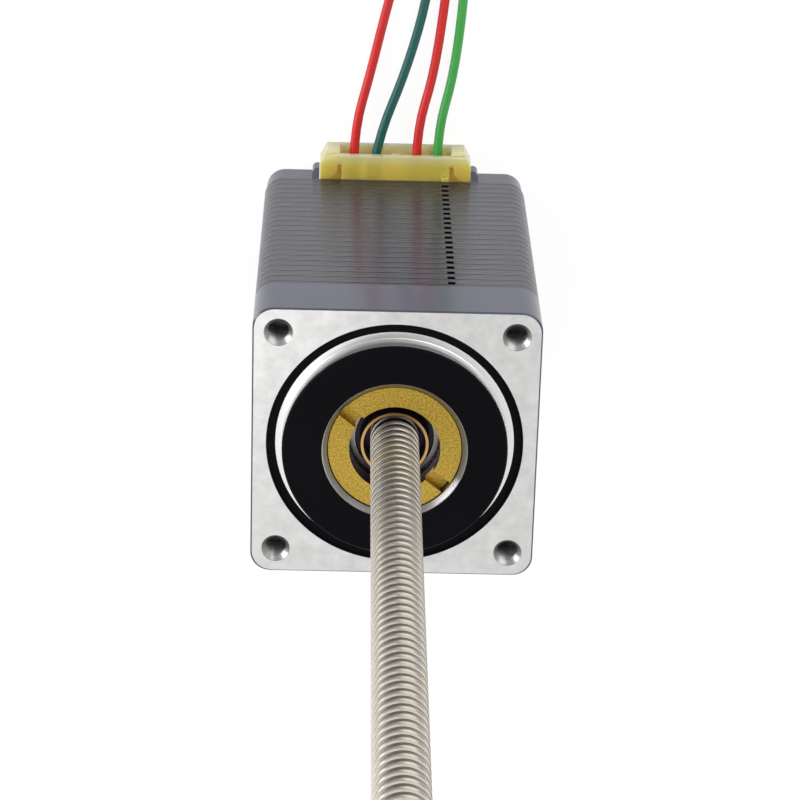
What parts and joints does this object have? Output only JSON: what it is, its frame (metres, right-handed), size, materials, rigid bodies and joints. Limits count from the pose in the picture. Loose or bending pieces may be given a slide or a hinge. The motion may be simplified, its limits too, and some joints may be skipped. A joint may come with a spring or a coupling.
{
  "type": "linear stepper motor",
  "caption": "Square linear stepper motor whose threaded rod runs through a rotating nut, with slotted brass bearing ring, round pilot, tapped corner holes and a plug-in lead connector",
  "frame": {"origin": "centre of the mounting face on the screw's axis, where the pilot stands up", "axes": "+Z along the screw out of the front of the motor, +Y toward the side with the lead connector, +X to the right in the picture"},
  "size_m": [0.028, 0.0691, 0.15],
  "materials": {
    "cast_aluminium": "die cast, grey coated, with machined faces",
    "brass": "bead blasted",
    "electrical_steel": "stamped laminations, grey coated outside",
    "insulator_nylon": "moulded, glass filled",
    "enamelled_copper": "enamelled magnet wire",
    "zinc_steel": "zinc plated",
    "spring_steel": "rolled",
    "bearing_steel": "ground",
    "shaft_steel": "ground",
    "stainless_screw": "rolled thread",
    "magnet": "sintered and coated",
    "tinned_copper": "tinned",
    "connector_nylon": "moulded, translucent, natural yellow",
    "lead_red": "extruded insulation",
    "lead_teal": "extruded insulation",
    "lead_green": "extruded insulation"
  },
  "bodies": {
    "motor": {"front_cover": "cast_aluminium", "rear_cover": "cast_aluminium", "bearing_retaining_ring": "brass", "stator_stack": "electrical_steel", "front_insulator": "insulator_nylon", "rear_insulator": "insulator_nylon", "phase_a_coils": "enamelled_copper", "phase_b_coils": "enamelled_copper", "case_bolts": "zinc_steel", "wave_washer": "spring_steel", "terminal_pins": "tinned_copper", "crimp_contacts": "tinned_copper", "connector_housing": "connector_nylon", "lead_coil": "lead_red", "lead_red_left": "lead_red", "lead_red_right": "lead_red", "lead_teal": "lead_teal", "lead_green": "lead_green", "front_bearing_outer_ring": "bearing_steel", "rear_bearing_outer_ring": "bearing_steel"},
    "rotor": {"rotor_shaft": "shaft_steel", "front_rotor_cup": "electrical_steel", "rear_rotor_cup": "electrical_steel", "rotor_magnet": "magnet", "rear_spacer": "shaft_steel", "lead_nut": "brass", "front_bearing_inner_ring": "bearing_steel", "rear_bearing_inner_ring": "bearing_steel"},
    "screw": {"lead_screw": "stainless_screw"},
    "front_ball_set": {"front_bearing_balls": "bearing_steel", "front_bearing_cage": "spring_steel"},
    "rear_ball_set": {"rear_bearing_balls": "bearing_steel", "rear_bearing_cage": "spring_steel"}
  },
  "joints": [
    {"name": "rotor_spin", "type": "hinge", "parent": "motor", "child": "rotor", "pos_m": [0, 0, 0], "axis": [0, 0, 1], "range_deg": [-6803.15, 29763.78]},
    {"name": "screw_slide", "type": "slide", "parent": "motor", "child": "screw", "axis": [0, 0, 1], "range_m": [-0.1051, 0.0241]},
    {"name": "front_balls_spin", "type": "hinge", "parent": "motor", "child": "front_ball_set", "pos_m": [0, 0, -0.003], "axis": [0, 0, 1], "range_deg": [-3047.45, 13329.22]},
    {"name": "rear_balls_spin", "type": "hinge", "parent": "motor", "child": "rear_ball_set", "pos_m": [0, 0, -0.0399], "axis": [0, 0, 1], "range_deg": [-3047.45, 13329.22]}
  ],
  "couplings": [
    {"joint": "screw_slide", "follows": "rotor_spin", "m_per_rad": -0.00020213},
    {"joint": "front_balls_spin", "follows": "rotor_spin", "ratio": 0.4478},
    {"joint": "rear_balls_spin", "follows": "rotor_spin", "ratio": 0.4478}
  ]
}
